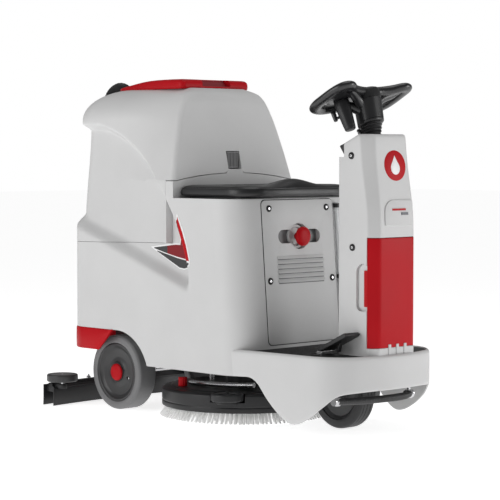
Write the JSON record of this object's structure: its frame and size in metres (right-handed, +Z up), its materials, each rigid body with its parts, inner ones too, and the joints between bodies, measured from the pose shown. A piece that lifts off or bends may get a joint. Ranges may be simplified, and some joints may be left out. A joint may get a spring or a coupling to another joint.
{
  "type": "ride-on floor scrubber",
  "caption": "Compact ride-on floor scrubber with disc brush, tilting recovery tank, driver's seat, steering column with butterfly wheel, and rear squeegee.",
  "frame": {"origin": "on the floor, under the middle of the machine's box", "axes": "+X forward, +Y to the driver's left, +Z up"},
  "size_m": [1.3491, 0.725, 1.105],
  "materials": {
    "body_grey": "satin rotomoulded polyethylene",
    "red_plastic": "semi-gloss",
    "black_plastic": "satin",
    "dark_grey": "satin",
    "rubber": "matte",
    "steel": "satin",
    "bristle": "satin polypropylene filaments",
    "clear": "translucent",
    "seat_vinyl": "grained vinyl"
  },
  "bodies": {
    "chassis": {"main_body": "body_grey", "rear_bumper_cover": "red_plastic", "seat_box_panel": "body_grey", "footboard_mat": "rubber", "level_tube": "clear", "solution_tank": "clear", "suction_motor": "black_plastic", "battery_pack": "dark_grey", "chassis_frame": "dark_grey", "rear_axle": "steel", "lift_actuator": "steel", "front_hose": "dark_grey", "tank_hinge_left": "black_plastic", "tank_hinge_right": "black_plastic", "hose_coupling": "black_plastic", "suction_hose_upper": "rubber", "suction_hose_lower": "rubber", "column_housing": "body_grey", "column_front_cover": "red_plastic", "steering_boot": "rubber", "pedal_bracket": "steel"},
    "recovery_tank": {"recovery_tank": "body_grey", "tank_latch": "dark_grey", "tank_seal": "rubber"},
    "tank_lid": {"tank_lid": "red_plastic"},
    "seat": {"seat_base": "black_plastic", "seat_cushion": "seat_vinyl"},
    "emergency_knob": {"emergency_knob": "red_plastic"},
    "steering_wheel": {"steering_wheel": "black_plastic", "direction_pod": "black_plastic"},
    "direction_lever": {"direction_lever": "black_plastic"},
    "key_switch": {"key_switch": "steel"},
    "brush_button": {"brush_button": "black_plastic"},
    "suction_button": {"suction_button": "black_plastic"},
    "accelerator_pedal": {"accelerator_pedal": "black_plastic"},
    "rear_wheel_left": {"tyre_left": "rubber", "rim_left": "dark_grey", "wheel_cap_left": "red_plastic"},
    "rear_wheel_right": {"tyre_right": "rubber", "rim_right": "dark_grey", "wheel_cap_right": "red_plastic"},
    "drive_fork": {"drive_fork": "dark_grey", "traction_motor": "black_plastic"},
    "drive_wheel": {"drive_tyre": "rubber", "drive_hub": "dark_grey"},
    "brush_deck": {"brush_cover": "dark_grey", "brush_motor": "black_plastic", "deck_bar": "steel", "lift_rod": "steel"},
    "brush": {"brush_disc": "black_plastic", "brush_bristles": "bristle"},
    "deck_roller": {"deck_roller": "black_plastic"},
    "deck_knob": {"deck_knob": "red_plastic"},
    "squeegee_arm": {"squeegee_arm": "steel"},
    "squeegee": {"squeegee_body": "black_plastic", "squeegee_blade_front": "rubber", "squeegee_blade_rear": "rubber", "suction_nozzle": "black_plastic"},
    "squeegee_roller_left": {"squeegee_roller_left": "dark_grey"},
    "squeegee_roller_right": {"squeegee_roller_right": "dark_grey"}
  },
  "joints": [
    {"name": "tank_tilt", "type": "hinge", "parent": "chassis", "child": "recovery_tank", "pos_m": [-0.613, 0, 0.561], "axis": [0, -1, 0], "range_deg": [0, 75], "deforming": ["suction_hose_upper"]},
    {"name": "lid_hinge", "type": "hinge", "parent": "recovery_tank", "child": "tank_lid", "pos_m": [-0.482, 0, 1.079], "axis": [0, -1, 0], "range_deg": [0, 75]},
    {"name": "seat_hinge", "type": "hinge", "parent": "chassis", "child": "seat", "pos_m": [0.236, 0, 0.7215], "axis": [0, 1, 0], "range_deg": [0, 75]},
    {"name": "emergency_push", "type": "slide", "parent": "chassis", "child": "emergency_knob", "axis": [-1, 0, 0], "range_m": [0, 0.008]},
    {"name": "steering", "type": "hinge", "parent": "chassis", "child": "steering_wheel", "pos_m": [0.505, 0, 1.03], "axis": [-0.4226, 0, 0.9063], "range_deg": [-50, 50]},
    {"name": "lever_turn", "type": "hinge", "parent": "steering_wheel", "child": "direction_lever", "pos_m": [0.49594, -0.078, 1.02577], "axis": [-0.4226, 0, 0.9063], "range_deg": [-15, 15]},
    {"name": "key_turn", "type": "hinge", "parent": "chassis", "child": "key_switch", "pos_m": [0.556, -0.045, 0.9005], "axis": [-0.4167, 0, 0.9091], "range_deg": [0, 90]},
    {"name": "brush_button_press", "type": "slide", "parent": "chassis", "child": "brush_button", "axis": [0.4167, 0, -0.9091], "range_m": [0, 0.0025], "stiffness_N_per_m": 200, "springref_m": -0.002},
    {"name": "suction_button_press", "type": "slide", "parent": "chassis", "child": "suction_button", "axis": [0.4167, 0, -0.9091], "range_m": [0, 0.0025], "stiffness_N_per_m": 200, "springref_m": -0.002},
    {"name": "pedal_press", "type": "hinge", "parent": "chassis", "child": "accelerator_pedal", "pos_m": [0.497, -0.14, 0.262], "axis": [0, 1, 0], "range_deg": [0, 9], "stiffness_Nm_per_rad": 1.5, "springref_deg": -17.19},
    {"name": "wheel_spin_left", "type": "hinge", "parent": "chassis", "child": "rear_wheel_left", "pos_m": [-0.385, 0.204, 0.125], "axis": [0, 1, 0], "continuous": true},
    {"name": "wheel_spin_right", "type": "hinge", "parent": "chassis", "child": "rear_wheel_right", "pos_m": [-0.385, -0.204, 0.125], "axis": [0, 1, 0], "continuous": true},
    {"name": "drive_steer", "type": "hinge", "parent": "chassis", "child": "drive_fork", "pos_m": [0.44, 0, 0.219], "axis": [0, 0, 1], "range_deg": [-50, 50]},
    {"name": "drive_spin", "type": "hinge", "parent": "drive_fork", "child": "drive_wheel", "pos_m": [0.44, 0, 0.105], "axis": [0, 1, 0], "continuous": true},
    {"name": "deck_lift", "type": "slide", "parent": "chassis", "child": "brush_deck", "axis": [0, 0, 1], "range_m": [0, 0.04]},
    {"name": "brush_spin", "type": "hinge", "parent": "brush_deck", "child": "brush", "pos_m": [-0.015, 0, 0.05], "axis": [0, 0, 1], "continuous": true},
    {"name": "deck_roller_spin", "type": "hinge", "parent": "brush_deck", "child": "deck_roller", "pos_m": [0.14, -0.22, 0.0875], "axis": [0, 0, 1], "continuous": true},
    {"name": "deck_knob_turn", "type": "hinge", "parent": "brush_deck", "child": "deck_knob", "pos_m": [-0.095, -0.198, 0.1157], "axis": [0, 0, 1], "range_deg": [-170, 170]},
    {"name": "squeegee_lift", "type": "hinge", "parent": "chassis", "child": "squeegee_arm", "pos_m": [-0.43, 0, 0.15], "axis": [0, 1, 0], "range_deg": [0, 10], "deforming": ["suction_hose_lower"]},
    {"name": "squeegee_swing", "type": "hinge", "parent": "squeegee_arm", "child": "squeegee", "pos_m": [-0.64, 0, 0.1], "axis": [0, 0, 1], "range_deg": [-10, 10]},
    {"name": "squeegee_roller_spin_left", "type": "hinge", "parent": "squeegee", "child": "squeegee_roller_left", "pos_m": [-0.586, 0.31, 0.0955], "axis": [0, 0, 1], "continuous": true},
    {"name": "squeegee_roller_spin_right", "type": "hinge", "parent": "squeegee", "child": "squeegee_roller_right", "pos_m": [-0.586, -0.31, 0.0955], "axis": [0, 0, 1], "continuous": true}
  ],
  "couplings": [
    {"joint": "steering", "follows": "drive_steer", "ratio": 1}
  ]
}
